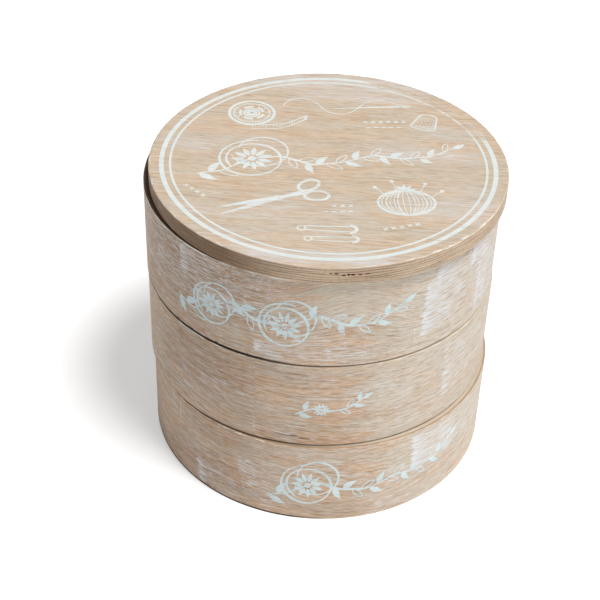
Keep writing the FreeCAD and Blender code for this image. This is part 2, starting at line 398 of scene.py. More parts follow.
def grain(s, place, seed):
    """Fine fibres, broader bands, growth lines and blotches of wood that runs along a place's first part."""
    along, across, depth = place
    wander = s.noise(place, (120, 40, 60), seed, 2.0)
    line = s.plus(across, s.times(s.minus(wander, 0.5), 9 * MM))

    def figure(length, height, shift, detail, rough, distortion=0.0):
        cells = (length, height, 3 * height)
        return s.noise((along, line, depth), cells, seed + shift, detail, rough, distortion)

    ridge = s.math("ABSOLUTE", s.minus(figure(9, 1.5, 37, 2.0, 0.6, 0.6), 0.5))
    rings = s.math("FRACT", s.times(figure(170, 13, 43, 1.0, 0.4), 9.0))
    return {
        "line": line,
        "bands": figure(110, 3.6, 7, 3.0, 0.6),
        "lines": figure(44, 1.2, 19, 3.0, 0.6),
        "fibres": figure(15, 0.75, 13, 2.0, 0.55),
        "fine": figure(6, 0.5, 29, 1.0, 0.5),
        "flecks": figure(5, 0.5, 23, 1.0, 0.5),
        "rings": s.span(s.math("ABSOLUTE", s.minus(rings, 0.5)), 0.16, 0.02),
        "lime": s.span(ridge, 0.034, 0.006),
        "blotch": s.noise(place, (30, 9, 20), seed + 31),
    }


def shaded(s, colour, g, steps, strength):
    """The colour with its grain's figures mixed in: each one's name, range, share and colour."""
    for figure, low, high, share, other in steps:
        colour = s.mix(s.span(g[figure], low, high, 0.0, share * strength, smooth=False), colour, other)
    return colour


def wood_colour(s, g, strength=1.0):
    """Tan wood from its grain: hue from the blotches, tone from bands and lines."""
    colour = s.mix(s.span(g["blotch"], 0.36, 0.62), TAN_ORANGE, TAN_GREY)
    colour = s.mix(0.35, colour, TAN)
    steps = (("bands", 0.45, 0.72, 0.34, TAN_DARK), ("lines", 0.5, 0.76, 0.5, TAN_DARK),
             ("lines", 0.46, 0.24, 0.42, WASH))
    return shaded(s, colour, g, steps, strength)


def fibred(s, colour, g, strength=1.0):
    """Short pale and dark fibres and open pores over a colour."""
    steps = (("fibres", 0.5, 0.78, 0.62, TAN_DARK), ("fibres", 0.46, 0.2, 0.5, WASH),
             ("fine", 0.5, 0.8, 0.55, TAN_DARK), ("fine", 0.48, 0.2, 0.55, WASH),
             ("flecks", 0.64, 0.78, 0.55, PORE))
    return shaded(s, colour, g, steps, strength)


def brushed(s, place, streaks, edge=0.055, full=0.43):
    """How much paint covers a point, from its patch's soft mask and the brush's streaks."""
    least = s.span(place, 0.0, 1.0, 0.66, full, smooth=False)
    cover = s.math("DIVIDE", s.minus(streaks, least), edge, clamp=True)
    return s.times(cover, s.span(place, 0.0, 0.25))


def knots(s, along, line, places):
    """How near a point is to one of the small knots."""
    nearest = 0.0
    for at, level, length, height in places:
        x = s.math("DIVIDE", s.minus(along, at * MM), length * MM)
        y = s.math("DIVIDE", s.minus(line, level * MM), height * MM)
        away = s.plus(s.times(x, x), s.times(y, y))
        nearest = s.math("MAXIMUM", nearest, s.span(away, 1.0, 0.0))
    return nearest


def hoop_colour(s, seed):
    """A hoop's bare wood with the white in its pores; returns the colour, the place and the grain."""
    along, height, depth = s.place("wrap")
    g = grain(s, (along, s.plus(height, s.value("figure")), depth), seed)
    colour = wood_colour(s, g)
    flat, net, stain_and_shade = s.place("tone")
    # The stains darken the wood; on the left they are painted shade
    dark = s.times(stain_and_shade, s.span(g["bands"], 0.38, 0.6, 0.4, 0.65))
    colour = s.mix(dark, colour, TAN_DARK)
    rings = s.times(g["rings"], s.span(stain_and_shade, 0.0, 0.7, 0.16, 0.5))
    colour = s.mix(rings, colour, TAN_DARK)
    # The flat haze, partly painted light on the lit right half
    cloud = s.plus(flat, s.minus(g["blotch"], 0.5))
    colour = s.mix(s.span(cloud, 0.1, 0.9, 0.0, 0.62), colour, HAZE)
    colour = fibred(s, colour, g)
    colour = s.mix(s.times(s.times(g["lime"], net), 0.7), colour, WASH)
    return colour, (along, height, depth), g


def rim_top_with_shade(s, colour, left=RIM_SHADE, right=RIM_PALE):
    """The colour with a hoop's upward face over it, which differs from left to right: painted shade darkens
    it towards the left, where the lid or the tray above shades it.
    """
    up = s.split(s.add("ShaderNodeNewGeometry").outputs["Normal"])[2]
    tone = s.mix(s.span(s.own_place()[0], -50 * MM, 60 * MM), left, right)
    return s.mix(s.span(up, 0.75, 0.97, 0.0, 0.8), colour, tone)


def hoop_wood(name, seed, rims):
    """Whitewashed veneer, with its wash dry-brushed on in places that the mesh holds."""
    s = new_shader(name + "_whitewashed_veneer")
    colour, (along, height, depth), g = hoop_colour(s, seed)
    near = knots(s, along, g["line"], KNOTS[name])
    colour = s.mix(s.times(near, s.span(g["fibres"], 0.3, 0.6, 0.35, 0.95)), colour, PORE)
    in_line = (along, g["line"], depth)
    streaks = s.noise(in_line, (12, 0.7, 3), seed + 41, 2.0, 0.6)
    jags = s.noise(in_line, (60, 0.9, 3), seed + 47, 3.0, 0.7)
    inside, thin, dense = s.place("wash")
    begun = s.plus(inside, s.times(s.minus(jags, 0.5), BRUSH_JAGS))
    begun = s.math("DIVIDE", begun, 0.5 * MM, clamp=True)
    for cover, share in ((brushed(s, thin, streaks), 0.66), (brushed(s, dense, streaks, 0.1, 0.3), 0.85)):
        colour = s.mix(s.times(s.times(cover, begun), share), colour, WASH)
    # The rim's upward face, with painted shade towards the left
    colour = rim_top_with_shade(s, colour, *rims)
    rub = s.noise((along, height, depth), (9, 2, 2), seed + 53, 2.0, 0.6)
    colour = s.mix(brushed(s, s.value("arris"), rub, 0.12, 0.22), colour, WORN)
    # Painted shade along the lower edges, a near black brown
    colour = s.mix(s.value("soot"), colour, SHADE_BROWN)
    relief = s.plus(s.times(g["fibres"], 0.6), s.times(g["lines"], 0.4))
    rough = s.span(g["fibres"], 0.2, 0.8, 0.55, 0.72)
    return s.finish(colour, rough, s.bump(relief, 0.1 * MM, 0.8), specular=0.3)


def lid_colour(s):
    """The lid's face veneer, its grain along X; returns the colour, the place and the grain."""
    place = s.own_place()
    g = grain(s, place, 3.0)
    face = s.mix(0.3, wood_colour(s, g, 0.6), CREAM)
    return fibred(s, face, g, 0.66), place, g


def ply_colour(s, place):
    """The plies' ends on the lid's edge, from end grain to side grain, with the voids in the core; the side
    grain's pale tone is partly painted light on the right, and the voids' black is painted shade.
    """
    ends = s.noise(place, (1.1, 5, 1), 5.0, 3.0, 0.6)
    layer = s.noise(place, (30, 0.8, 5), 9.0, 3.0, 0.65)
    pink = s.noise(place, (9, 1.8, 5), 15.0, 1.0, 0.5)
    broken = s.noise(place, (26, 1.3, 5), 25.0, 2.0, 0.6)
    line = s.times(s.value("groove"), s.span(broken, 0.34, 0.6, 0.2, 0.9))
    hollow = s.value("void")
    # End grain to side grain; the side grain's pale tone towards the right end is painted light
    colour = s.mix(s.value("side_grain"), END_GRAIN, SIDE_GRAIN)
    for share, tone in ((s.span(pink, 0.62, 0.74, 0.0, 0.4), PINK),
                        (s.span(ends, 0.45, 0.75, 0.0, 0.3), TAN_DARK),
                        (s.span(layer, 0.5, 0.72, 0.0, 0.5), TAN_DARK),
                        (s.span(layer, 0.44, 0.24, 0.0, 0.4), WORN),
                        (line, PLY_LINE),
                        (s.span(hollow, 0.0, 0.35, 0.0, 0.5), VOID_RIM),
                        # The voids' near black is painted shade in their hollows
                        (s.span(hollow, 0.3, 0.6), VOID_SHADE)):
        colour = s.mix(share, colour, tone)
    return colour


def lid_wood():
    """The lid's face, and its edge with the plies' ends."""
    s = new_shader("lid_whitewashed_wood")
    face, (x, y, z), g = lid_colour(s)
    streaks = s.noise((x, g["line"], z), (20, 0.8, 3), 57.0, 2.0, 0.6)
    wash = s.value("wash")
    face = s.mix(s.times(wash, 0.3), face, WASH)
    face = s.mix(s.times(brushed(s, wash, streaks), 0.5), face, WASH)
    place = s.place("wrap")
    colour = s.mix(s.value("edge"), face, ply_colour(s, place))
    rub = s.noise(place, (7, 1.2, 2), 71.0, 2.0, 0.65)
    colour = s.mix(brushed(s, s.value("arris"), rub, 0.16, 0.3), colour, WORN)
    rough = s.span(g["fibres"], 0.2, 0.8, 0.52, 0.68)
    return s.finish(colour, rough, s.bump(g["fibres"], 0.08 * MM, 0.7), specular=0.3)


def paint(name, under, tones, seed=0.0):
    """The print's pale paint, rubbed through to the wood under it here and there."""
    s = new_shader(name)
    wood, place, g = under(s)
    colour = s.mix(s.span(s.noise(place, (5, 5, 5), seed, 3.0, 0.6), 0.35, 0.65), *tones)
    thin = s.plus(s.value("worn"), s.times(s.minus(g["fibres"], 0.5), 1.6))
    colour = s.mix(s.span(thin, 0.14, 0.66, 0.06, 0.95), colour, wood)
    return s.finish(colour, 0.55, s.bump(g["fibres"], 0.05 * MM, 0.5), specular=0.3)


def new_mesh(name, verts, faces):
    mesh = bpy.data.meshes.new(name)
    mesh.from_pydata(verts, [], faces)
    mesh.update()
    return mesh


def add_object(name, data):
    thing = bpy.data.objects.new(name, data)
    bpy.context.scene.collection.objects.link(thing)
    return thing


def new_piece(mesh, body, material, place, sharp=40):
    """A mesh shown as a piece that rides on a body, smooth but for edges sharper than the angle."""
    mesh.polygons.foreach_set("use_smooth", [True] * len(mesh.polygons))
    mesh.set_sharp_from_angle(angle=radians(sharp))
    mesh.materials.append(material)
    piece = add_object(mesh.name, mesh)
    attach(piece, body)
    piece.location = place
    return piece


def store(mesh, **layers):
    """Keeps values or vectors for the mesh's points."""
    for name, values in layers.items():
        values = np.asarray(values, np.float32)
        kind, key = (("FLOAT", "value"), ("FLOAT_VECTOR", "vector"))[values.ndim - 1]
        mesh.attributes.new(name, kind, "POINT").data.foreach_set(key, values.ravel())


def skin(lines, points, first=0, round_lines=False, round_points=True, capped=False):
    """The faces between neighbouring lines of points, and over the first and last line if capped."""
    faces = []
    for line in range(lines if round_lines else lines - 1):
        for point in range(points if round_points else points - 1):
            a = first + line * points + point
            b = first + (line + 1) % lines * points + point
            step = (point + 1) % points - point
            faces.append((a, b, b + step, a + step))
    if capped:
        last = first + (lines - 1) * points
        faces.append(tuple(range(first, first + points)))
        faces.append(tuple(reversed(range(last, last + points))))
    return faces


def ripple(rng, count, harmonics, low):
    """A closed curve of random smooth values from -1 to 1, one for each of count places round."""
    angle = np.arange(count) * (2 * pi / count)
    total = np.zeros(count)
    for k in range(low, low + harmonics):
        total += rng.uniform(-1, 1) * np.cos(k * angle + rng.uniform(0, 2 * pi))
    return total / np.abs(total).max()


def rounding(size):
    """An edge's rounding as a list of how far it still lies from its end and from its start."""
    turns = [pi / 2 * k / ROUND_STEPS for k in range(ROUND_STEPS + 1)]
    return [(size * (1 - sin(turn)), size * (1 - cos(turn))) for turn in turns]


def hoop_section(round_low, round_top, height, inner, outer, sway):
    """A hoop's section, from its inner lower edge round outside: radius, level and two arrises."""
    points = [(inner, 0.0, 0.0, 0.0)]
    for away, up in rounding(round_low):
        points.append((outer - away, up, 0.0, 1.0))
    for k in range(1, HOOP_ROWS):
        share = (1 - cos(pi * k / HOOP_ROWS)) / 2
        z = round_low + (height - round_top - round_low) * share
        points.append((outer + sway * sin(pi * share), z,
                       max(0.0, 1 - (height - z) / TOP_ARRIS), max(0.0, 1 - z / LOW_ARRIS)))
    for k, (down, away) in enumerate(rounding(round_top)):
        points.append((outer - away, height - down, min(1.0, 2 - k / 2), 0.0))
    points.append((inner, height, 0.0, 0.0))
    return points


def hoop_mesh(name, seed):
    """A veneer hoop: its section carried round from one side of the seam to the other."""
    _, _, radius, low, high = tray_frame(name)
    rng = np.random.default_rng(seed)
    outer = radius - FILM
    gap = degrees(SEAM_WIDTH / outer)
    start = SEAM_ANGLES[name] + gap / 2
    count = HOOP_COLUMNS + 1
    angles = np.radians(start + (360 - gap) * np.arange(count) / HOOP_COLUMNS)
    round_top = RIM_ROUND + RIM_WEAR * ripple(rng, count, *EDGE_WAVES)
    round_low = RIM_ROUND + RIM_WEAR * ripple(rng, count, *EDGE_WAVES)
    sway = WALL_SWAY * (ripple(rng, count, *WALL_WAVES) - 1) / 2
    verts, arrises = [], []
    for angle, size_low, size_top, bow in zip(angles, round_low, round_top, sway):
        section = hoop_section(size_low, size_top, high - low, radius - VENEER, outer, bow)
        for r, z, top_arris, low_arris in section:
            verts.append((r * cos(angle), r * sin(angle), z))
            arrises.append((top_arris, low_arris))
    return new_mesh(name + "_veneer", verts, skin(count, len(section), capped=True)), np.array(arrises).T


def arc_from(angle, start, radius):
    """The distance along the wall from one angle to others, in metres, between -pi and pi radii."""
    return ((angle - start + 180) % 360 - 180) * pi / 180 * radius


def from_spot(angle, height, radius, at, level, half_width, half_height):
    """How far points lie from a spot on a wall, along and up, counted in its half sizes in mm."""
    return arc_from(angle, at, radius) / (half_width * MM), (height - level * MM) / (half_height * MM)


def within(value, low, high, soft):
    """1 for lengths well inside a range in mm, falling off softly at its ends."""
    return np.clip(0.5 + np.minimum(value - low * MM, high * MM - value) / (soft * MM), 0, 1)


def between(angle, start, end, soft=6.0):
    """1 for angles from start to end, falling off softly outside."""
    middle = (start + end) / 2
    away = np.abs((angle - middle + 180) % 360 - 180) - (end - start) / 2
    return np.clip(1 - away / soft, 0, 1)


def grain_rise(name, angle, height, radius):
    """How far the grain's lines bow away from the level at each point."""
    rise = np.zeros(len(angle))
    for at, level, half_width, lift in FIGURES[name]:
        across, up = from_spot(angle, height, radius, at, level, half_width, FIGURE_HALF_HEIGHT)
        rise -= lift * MM * np.exp(-across ** 2 - up ** 2)
    return rise


def hazed_and_lit(name, angle, height):
    """How flat and how net-like the white on the wood is at each point; the flat white on the lit right half
    is partly painted light.
    """
    flat = np.full(len(angle), LEAST_HAZE)
    net = np.full(len(angle), LEAST_HAZE)
    for start, end, low, high, flat_share, net_share in HAZES_AND_LIGHT[name]:
        near = between(angle, start, end, 12.0) * within(height, low, high, 9)
        flat = np.maximum(flat, flat_share * near)
        net = np.maximum(net, net_share * near)
    return flat, net


def stained_and_shaded(name, angle, height, radius):
    """How dark the growth rings are at each point, with painted shade on the left."""
    stain_and_shade = np.zeros(len(angle))
    for *spot, strength in STAINS_AND_SHADE[name]:
        across, up = from_spot(angle, height, radius, *spot)
        stain_and_shade = np.maximum(stain_and_shade, strength * np.exp(-across ** 4 - up ** 2))
    return stain_and_shade


def wash_patch(angle, height, patch, radius):
    """A dry-brushed patch at each point: the distance inside its start, its cover and its thick start."""
    start, end, low, high, strength = patch
    span = arc_from(end, start, radius)
    inside = arc_from(angle, start, radius) * copysign(1, span)
    up = strength * within(height, low, high, 4)
    cover = up * np.clip(1.1 - inside / abs(span), 0, 1)
    dense = up * np.clip(1.0 - inside / BRUSH_THICK, 0, 1)
    return inside, cover, dense


def washed(name, angle, height, radius, seed):
    """The wash that covers each point most, with stray patches at the back."""
    rng = random.Random(seed)
    patches = list(WASH_PATCHES[name])
    for _ in range(STRAY_PATCHES):
        start = rng.uniform(5, 200)
        bottom = rng.uniform(0, 44)
        patches.append((start, start + rng.choice((-1, 1)) * rng.uniform(20, 48), bottom,
                        bottom + rng.uniform(5, 14), rng.uniform(0.3, 0.6)))
    best = np.zeros(len(angle))
    wash = np.zeros((len(angle), 3))
    wash[:, 0] = -BRUSH_JAGS
    for patch in patches:
        inside, cover, dense = wash_patch(angle, height, patch, radius)
        score = cover * np.clip(1 + inside / (4 * MM), 0, 1)
        better = score > best
        best[better] = score[better]
        wash[better] = np.stack([inside, cover, dense], 1)[better]
    return wash


def round_places(mesh):
    """Each point's angle and level about the mesh's own origin."""
    points = np.zeros(len(mesh.vertices) * 3)
    mesh.vertices.foreach_get("co", points)
    points = points.reshape(-1, 3)
    return np.degrees(np.arctan2(points[:, 1], points[:, 0])), points[:, 2]


def store_wood(mesh, name):
    """Keeps what both a hoop and the print on it need of the wood; returns the angles and levels."""
    angle, height = round_places(mesh)
    radius = tray_frame(name)[2]
    along = np.radians((angle - SEAM_ANGLES[name]) % 360) * radius
    flat, net = hazed_and_lit(name, angle, height)
    store(mesh, wrap=np.stack([along, height, 0 * height], 1), figure=grain_rise(name, angle, height, radius),
          tone=np.stack([flat, net, stained_and_shaded(name, angle, height, radius)], 1))
    return angle, height


def make_hoop(name, seed):
    mesh, (top_arris, low_arris) = hoop_mesh(name, seed)
    angle, height = store_wood(mesh, name)
    x, y, radius, low, _ = tray_frame(name)
    start, end, strength = WORN_RIMS[name]
    worn = np.maximum(LEAST_WORN, strength * between(angle, start, end))
    # Painted shade along the lower edge, where the tray meets the floor or the tray under it
    start, end, shade_height, strength = LOW_EDGE_SHADE[name]
    soot = np.where(height < shade_height * MM, strength * between(angle, start, end, 14.0), 0.0)
    store(mesh, wash=washed(name, angle, height, radius, seed), soot=soot,
          arris=np.maximum(top_arris * worn, low_arris * LEAST_WORN))
    # The rims' upward faces: painted shade towards the left, their own paler tone towards the right
    rims = (BASE_RIM_SHADE, RIM_BROWN) if name == "base" else (RIM_SHADE, RIM_PALE)
    wood = hoop_wood(name, seed * 11.0, rims)
    piece = new_piece(mesh, BODY_OF[name], wood, (x, y, low))
    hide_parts(name + "_outer_hoop")


def make_seam_glue(name):
    """The glue and filler in a hoop's butt seam, a little proud of the wood where it beads."""
    x, y, radius, low, high = tray_frame(name)
    levels = np.linspace(GLUE_ENDS[0], high - low - GLUE_ENDS[1], GLUE_STEPS)
    bead = np.zeros(len(levels))
    for level, half, strength in SEAM_GLUE[name]:
        bead = np.maximum(bead, strength * np.clip(1.4 - ((levels - level * MM) / (half * MM)) ** 2, 0, 1))
    half = SEAM_WIDTH / 2
    verts = []
    for z, b in zip(levels, bead):
        face = radius - FILM - GLUE_SINK + GLUE_PROUD * b
        wide = half + GLUE_SPREAD * b
        back = radius - VENEER
        for across, reach in ((half, back), (wide, face), (0, face + GLUE_CREST * b), (-wide, face),
                              (-half, back)):
            verts.append((reach, across, z))
    mesh = new_mesh(name + "_seam_glue", verts, skin(len(levels), 5, capped=True))
    store(mesh, glue=np.repeat(bead, 5))
    s = new_shader(name + "_seam_glue")
    mark = s.noise(s.own_place(), (0.5, 0.5, 1.5), detail=2.0)
    tone = s.mix(s.span(mark, 0.35, 0.65), FILLER, TAN_GREY)
    tone = s.mix(s.value("glue"), tone, GLUE)
    material = s.finish(tone, 0.45, s.bump(mark, 0.03 * MM, 0.5))
    piece = new_piece(mesh, BODY_OF[name], material, (x, y, low))
    piece.rotation_euler = (0, 0, radians(SEAM_ANGLES[name]))


def lid_section(round_size, radius, thickness, line_levels):
    """The lid's section from under its edge to its middle on top: radius, level, arris, groove, edge."""
    points = [(radius * LID_FACE_RINGS[0], 0.0, 0.0, 0.0, 0.0)]
    for k, (away, up) in enumerate(rounding(round_size)):
        points.append((radius - away, up, 0.0, 0.0, min(1.0, k / 2)))
    for k in range(1, LID_ROWS):
        z = round_size + (thickness - 2 * round_size) * k / LID_ROWS
        deep = max(0.0, 1 - min(abs(z - level) for level in line_levels) / GROOVE_REACH)
        points.append((radius - PLY_GROOVE * deep, z, max(0.0, 1 - (thickness - z) / LID_ARRIS), deep, 1.0))
    for k, (down, away) in enumerate(rounding(round_size)):
        points.append((radius - away, thickness - down, 1.0, 0.0, max(0.0, 1 - k / 2)))
    for share in LID_FACE_RINGS:
        points.append((radius * share, thickness, 0.0, 0.0, 0.0))
    return points


def lid_mesh():
    """The lid: a disc whose edge shows grooves between the plies and voids in the core."""
    _, radius, thickness = lid_frame()
    thickness -= FILM
    rng = np.random.default_rng(5)
    rounds = LID_ROUND + LID_WEAR * ripple(rng, LID_COLUMNS, *EDGE_WAVES)
    waves = [PLY_SWAY * ripple(rng, LID_COLUMNS, *PLY_WAVES) for _ in PLY_LEVELS]
    verts, wrap, marks = [], [], []
    for column in range(LID_COLUMNS):
        angle = 2 * pi * column / LID_COLUMNS
        levels = [level + wave[column] for level, wave in zip(PLY_LEVELS, waves)]
        section = lid_section(rounds[column], radius, thickness, levels)
        for r, z, arris, deep, edge in section:
            verts.append((r * cos(angle), r * sin(angle), z))
            wrap.append((angle * radius, z, radius - r))
            marks.append((arris, deep, edge, degrees(angle)))
    rows = len(section)
    faces = skin(LID_COLUMNS, rows, round_lines=True, round_points=False)
    faces.append(tuple(column * rows + rows - 1 for column in range(LID_COLUMNS)))
    verts = np.array(verts)
    x, y, z = verts.T
    arris, deep, edge, angle = np.array(marks).T
    hollow = np.zeros(len(verts))
    for spot in VOIDS:
        across, up = from_spot(angle, z, radius, *spot)
        hollow = np.maximum(hollow, np.clip(1.6 - across ** 2 - up ** 2, 0, 1) * edge)
    wash = np.zeros(len(verts))
    verts[:, :2] *= (1 - hollow * VOID_DEPTH / radius)[:, None]
    for x0, x1, y0, y1, strength in LID_WASH:
        wash = np.maximum(wash, strength * np.minimum(within(x, x0, x1, 24), within(y, y0, y1, 8)))
    # Side grain at the front and back; the front arc's reach round to the right end is painted light
    front, back = (between(angle, *arc) for arc in SIDE_GRAIN_AND_LIGHT_ARCS)
    side_grain = np.maximum(front * (1 - DULL_SHARE * between(angle, *DULL_ARC)), back)
    worn = LEAST_LID_WORN + sum(strength * between(angle, *arc) for strength, *arc in WORN_ARCS)
    mesh = new_mesh("lid_plywood", verts.tolist(), faces)
    store(mesh, wrap=wrap, arris=arris * worn, groove=deep, edge=edge, void=hollow, side_grain=side_grain,
          wash=wash)
    return mesh


def close_underside(mesh, centre):
    """Closes the lid's underside round the stepped hole that its insert sits in."""
    low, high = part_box("lid_insert")
    middle = (low + high) / 2 - centre
    flange = (high.x - low.x) / 2
    steps = ((flange, 0.0), (flange, INSERT_FLANGE), (INSERT_BODY, INSERT_FLANGE), (INSERT_BODY, INSERT_HOLE))
    work = bmesh.new()
    work.from_mesh(mesh)
    rim = [edge for edge in work.edges if edge.is_boundary]
    around = [2 * pi * k / HOLE_SIDES for k in range(HOLE_SIDES)]
    rings = []
    for radius, z in steps:
        rings.append([work.verts.new((middle.x + radius * cos(a), middle.y + radius * sin(a), z))
                      for a in around])
    for ring, deeper in zip(rings, rings[1:]):
        for k in range(HOLE_SIDES):
            work.faces.new((ring[k], ring[k - 1], deeper[k - 1], deeper[k]))
    work.faces.new(rings[-1])
    mouth = [work.edges.get((rings[0][k], rings[0][k - 1])) for k in range(HOLE_SIDES)]
    bmesh.ops.triangle_fill(work, edges=rim + mouth, use_beauty=True)
    bmesh.ops.recalc_face_normals(work, faces=work.faces)
    work.to_mesh(mesh)
    work.free()


def make_lid():
    mesh = lid_mesh()
    place = lid_frame()[0]
    close_underside(mesh, place)
    piece = new_piece(mesh, "lid", lid_wood(), place, sharp=50)
    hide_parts("lid_panel")


# The print: branches, sewing tools and rings, drawn flat in mm and laid on the lid and the walls


def turned(points, turn):
    a = radians(turn)
    return np.asarray(points) @ np.array([[cos(a), sin(a)], [-sin(a), cos(a)]])


def polar(radius, angle):
    """The flat point at a distance and direction, in radians, from the middle."""
    return np.stack([radius * np.cos(angle), radius * np.sin(angle)], -1)


def run_along(points):
    """Each point's distance along its line."""
    return np.concatenate([[0], np.cumsum(np.hypot(*np.diff(points, axis=0).T))])


def path(start, heading, length, turns, step=0.5):
    """A smooth line that turns by so many degrees in each equal stretch of its length."""
    count = max(8, int(length / step))
    at = (np.arange(count) + 0.5) / count
    middles = (np.arange(len(turns)) + 0.5) / len(turns)
    bend = np.interp(at, middles, turns) * len(turns)
    way = np.radians(heading + np.cumsum(bend) / count - bend / count / 2)
    return np.concatenate([[start], start + np.cumsum(polar(length / count, way), 0)])


def heading_at(line, i):
    i = min(max(i, 1), len(line) - 2)
    d = line[i + 1] - line[i - 1]
    return degrees(atan2(d[1], d[0]))


def straight(x0, y0, x1, y1, count=8):
    return np.linspace((x0, y0), (x1, y1), count)


def ellipse(x, y, half_x, half_y, start=0, end=360, turn=0):
    a = np.radians(np.linspace(start, end, max(6, int(abs(end - start) / 8))))
    return turned(np.stack([half_x * np.cos(a), half_y * np.sin(a)], 1), turn) + (x, y)


def spiral(x, y, start, turn, first, last):
    """A line that winds about a point through so many degrees, from one radius to another."""
    t = np.linspace(0, 1, int(abs(turn) / 6))
    return polar(first + (last - first) * t, np.radians(start + turn * t)) + (x, y)


def rounded(points, step=0.5, reach=9):
    """A line of even steps along the points, with its corners rounded."""
    points = np.asarray(points, float)
    run = run_along(points)
    at = np.arange(0, run[-1], step)
    soft = np.hanning(2 * reach + 3)[1:-1]
    sides = []
    for k in (0, 1):
        even = np.pad(np.interp(at, run, points[:, k]), reach, mode="reflect", reflect_type="odd")
        sides.append(np.convolve(even, soft / soft.sum(), "valid"))
    return np.stack(sides, 1)


class Drawing:
    """Strokes, each a line of points with half widths, in mm."""

    def __init__(self):
        self.strokes = []

    def line(self, points, half):
        self.strokes.append((np.asarray(points, float), np.full(len(points), half)))

    def pen(self, points, thick, thin=HAIR, taper=5.0):
        """A stroke as a broad pen makes it, thin along the nib's own direction."""
        d = np.gradient(points, axis=0)
        way = np.arctan2(d[:, 1], d[:, 0])
        half = thin + (thick - thin) * np.abs(np.sin(way - radians(NIB_ANGLE))) ** 2.2
        run = run_along(points)
        ends = np.clip(np.minimum(run, run[-1] - run) / taper, 0, 1)
        self.strokes.append((points, 0.8 * thin + (half - 0.8 * thin) * ends))

    def taper(self, points, start, middle, end):
        half = np.interp(np.linspace(0, 1, len(points)), [0, 0.5, 1], [start, middle, end])
        self.strokes.append((points, half))

    def dot(self, x, y, r):
        a = np.linspace(0, pi, 9)
        line = np.stack([x - r * np.cos(a), np.full(9, y)], 1)
        self.strokes.append((line, np.maximum(r * np.sin(a), 0.02)))

    def leaf(self, at, heading, length, bend, half):
        line = path(at, heading - bend / 2, length, (bend / 2, bend / 2), 0.4)
        t = np.linspace(0, 1, len(line))
        self.strokes.append((line, 0.12 + half * np.sin(pi * t ** 0.75) ** 1.3))

    def outlined_leaf(self, at, heading, length, half):
        bow = degrees(4 * half / length)
        for side in (1, -1):
            self.line(path(at, heading + side * bow, 1.04 * length, (-side * bow, -side * bow)), 0.3)

    def daisy(self, x, y, radius):
        """A flower of narrow petals about a dotted heart."""
        for k in range(PETALS):
            way = 360 * k / PETALS + 12
            root = polar(0.3 * radius, radians(way)) + (x, y)
            self.leaf(root, way, 0.72 * radius, 0, 0.13 * radius)
        self.dot(x, y, 0.2 * radius)

    def put(self, other, x, y, turn=0, scale=1.0):
        """Adds another drawing, turned, scaled and moved."""
        for points, half in other.strokes:
            self.strokes.append((turned(points * scale, turn) + (x, y), half * scale))


def branch(points, daisies, leaves):
    """A waving stem with its leaves by turns filled and in outline, and daisies in thin loops."""
    d = Drawing()
    stem = rounded(points)
    run = run_along(stem)
    d.pen(stem, 1.0, taper=9.0)
    first, last, step = leaves
    for k, at in enumerate(np.arange(1.5, run[-1] - 2, step)):
        if any(abs(at - place) < LEAFLESS * radius for place, radius in daisies):
            continue
        i = int(np.searchsorted(run, at))
        length = first + (last - first) * at / run[-1]
        side = 1 if k % 2 else -1
        if k % 4 < 2:
            d.leaf(stem[i], heading_at(stem, i) + side * 46, length, -side * 34, 0.19 * length)
        else:
            d.outlined_leaf(stem[i], heading_at(stem, i) + side * 42, length, 0.17 * length)
    for place, radius in daisies:
        i = int(np.searchsorted(run, place))
        x, y = stem[i]
        d.daisy(x, y, radius)
        if radius > LEAST_LOOPED:
            lean = heading_at(stem, i)
            d.pen(spiral(x, y, lean + 200, -500, LOOPS[0] * radius, LOOPS[1] * radius), 0.85)
            aside = spiral(x + 0.5 * radius, y + 0.7 * radius, lean + 150, -330, 1.1 * radius, 1.5 * radius)
            d.pen(aside, 0.7)
    d.leaf(stem[-1], heading_at(stem, len(stem) - 1), last, 20, 0.19 * last)
    return d


def tape_measure():
    """A round case with a tape pulled out of it."""
    d = Drawing()
    for radius, half in ((13, 0.9), (10.6, 0.35), (4.4, 0.6), (2.2, 1.1)):
        d.line(ellipse(0, 0, radius, radius), half)
    for k in range(36):
        a = radians(10 * k)
        far = 8.2 if k % 3 == 0 else 9.3
        d.line(np.linspace(polar(10.6, a), polar(far, a), 3), 0.25)
    for k in range(5):
        d.line(ellipse(0, 0, 6.7, 6.7, 72 * k + 8, 72 * k + 58), 0.9)
    upper = path((0, -13), 0, 34, (-6, 10, 26, 10, -10))
    lower = upper + np.array((-0.6, -4.4))
    d.line(upper, 0.35)
    d.line(lower, 0.35)
    for k in range(0, len(upper), 4):
        share = 0.75 if k % 16 == 0 else 0.4
        d.line(np.linspace(upper[k], upper[k] + share * (lower[k] - upper[k]), 3), 0.22)
    d.line(np.linspace(upper[-1], lower[-1], 4), 0.9)
    return d


def needle_and_thread():
    d = Drawing()
    d.taper(straight(0, 0, 44, 5, 30)[:-3], 0.12, 0.55, 0.7)
    d.line(ellipse(43.2, 4.9, 2.6, 0.95, 0, 360, 6.5), 0.3)
    d.line(path((43, 4.9), 158, 92, (-10, 50, 50, -30, -60, -50, 40, 60, 60)), 0.36)
    return d


def thimble():
    d = Drawing()
    d.line(ellipse(0, 0, 6.6, 1.9, 180, 360), 0.4)
    d.line(ellipse(0, 2.2, 6.3, 1.8, 180, 360), 0.3)
    for side in (-1, 1):
        d.line(straight(side * 6.6, 0, side * 4.8, 10.5), 0.4)
    d.line(ellipse(0, 10.5, 4.8, 3.4, 0, 180), 0.45)
    for row in range(5):
        for k in range(7):
            x = (5.6 - 0.32 * row) * sin(radians(-72 + 24 * k + 8 * (row % 2)))
            d.dot(x, 3.6 + 1.75 * row - 1.2 * sqrt(max(0, 1 - (x / 6.6) ** 2)), 0.34)
    return d


